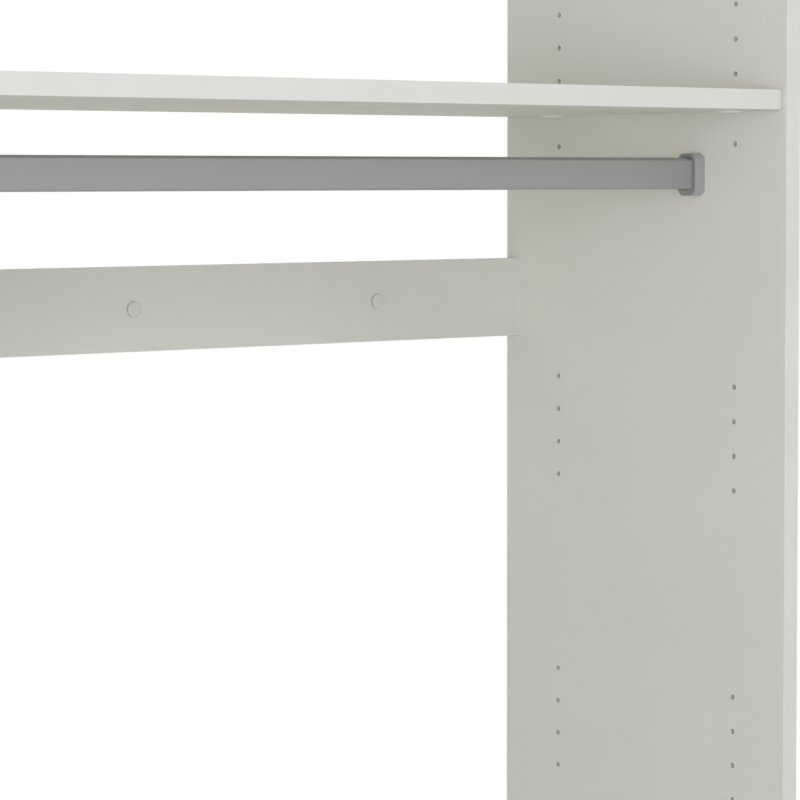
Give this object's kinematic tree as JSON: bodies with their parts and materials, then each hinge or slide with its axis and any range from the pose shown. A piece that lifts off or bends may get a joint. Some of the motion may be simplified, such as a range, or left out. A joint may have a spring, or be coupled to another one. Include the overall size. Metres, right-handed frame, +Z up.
{
  "type": "wall mounted closet system",
  "caption": "Wall mounted closet bay: side panels drilled for shelf pins, lift-off shelf, oval hanging rod in ring brackets, and wall rails with snap screw caps.",
  "frame": {"origin": "centre of the upper rail's wall screw holes, on the wall plane, midway between the side panels", "axes": "+Y into the wall, +Z up, +X to the right as seen from the room"},
  "size_m": [0.984, 0.37, 1.219],
  "materials": {
    "laminate_board": "smooth satin off-white melamine on particle board",
    "edge_band": "satin off-white band, softened edges",
    "pale_plastic": "satin off-white moulded plastic",
    "zinc_plated_steel": "zinc plated",
    "cast_zinc": "bare die casting",
    "beech_dowel": "bare fluted beech",
    "satin_rod_metal": "satin grey, faint lengthwise lines",
    "bracket_metal": "satin grey die casting"
  },
  "bodies": {
    "frame": {"left_side_panel": "laminate_board", "right_side_panel": "laminate_board", "left_panel_edge_bands": "edge_band", "right_panel_edge_bands": "edge_band", "upper_hang_rail": "laminate_board", "lower_hang_rail": "laminate_board", "upper_rail_edge_bands": "edge_band", "lower_rail_edge_bands": "edge_band", "cam_bolts": "zinc_plated_steel", "cam_locks": "cast_zinc", "rail_dowels": "beech_dowel", "cap_washers": "pale_plastic", "shelf_pins": "zinc_plated_steel", "closet_rod": "satin_rod_metal", "left_rod_bracket": "bracket_metal", "right_rod_bracket": "bracket_metal", "rod_bracket_screws": "zinc_plated_steel"},
    "shelf": {"adjustable_shelf": "laminate_board", "shelf_edge_bands": "edge_band", "shelf_sockets": "pale_plastic"},
    "upper_screw_cap_left": {"upper_screw_cap_left": "pale_plastic"},
    "upper_screw_cap_middle": {"upper_screw_cap_middle": "pale_plastic"},
    "upper_screw_cap_right": {"upper_screw_cap_right": "pale_plastic"},
    "lower_screw_cap_left": {"lower_screw_cap_left": "pale_plastic"},
    "lower_screw_cap_middle": {"lower_screw_cap_middle": "pale_plastic"},
    "lower_screw_cap_right": {"lower_screw_cap_right": "pale_plastic"}
  },
  "joints": [
    {"name": "shelf_lift", "type": "slide", "parent": "frame", "child": "shelf", "axis": [0, 0, 1], "range_m": [0, 0.096]},
    {"name": "upper_screw_cap_left_pull", "type": "slide", "parent": "frame", "child": "upper_screw_cap_left", "axis": [0, -1, 0], "range_m": [0, 0.012]},
    {"name": "upper_screw_cap_middle_pull", "type": "slide", "parent": "frame", "child": "upper_screw_cap_middle", "axis": [0, -1, 0], "range_m": [0, 0.012]},
    {"name": "upper_screw_cap_right_pull", "type": "slide", "parent": "frame", "child": "upper_screw_cap_right", "axis": [0, -1, 0], "range_m": [0, 0.012]},
    {"name": "lower_screw_cap_left_pull", "type": "slide", "parent": "frame", "child": "lower_screw_cap_left", "axis": [0, -1, 0], "range_m": [0, 0.012]},
    {"name": "lower_screw_cap_middle_pull", "type": "slide", "parent": "frame", "child": "lower_screw_cap_middle", "axis": [0, -1, 0], "range_m": [0, 0.012]},
    {"name": "lower_screw_cap_right_pull", "type": "slide", "parent": "frame", "child": "lower_screw_cap_right", "axis": [0, -1, 0], "range_m": [0, 0.012]}
  ]
}
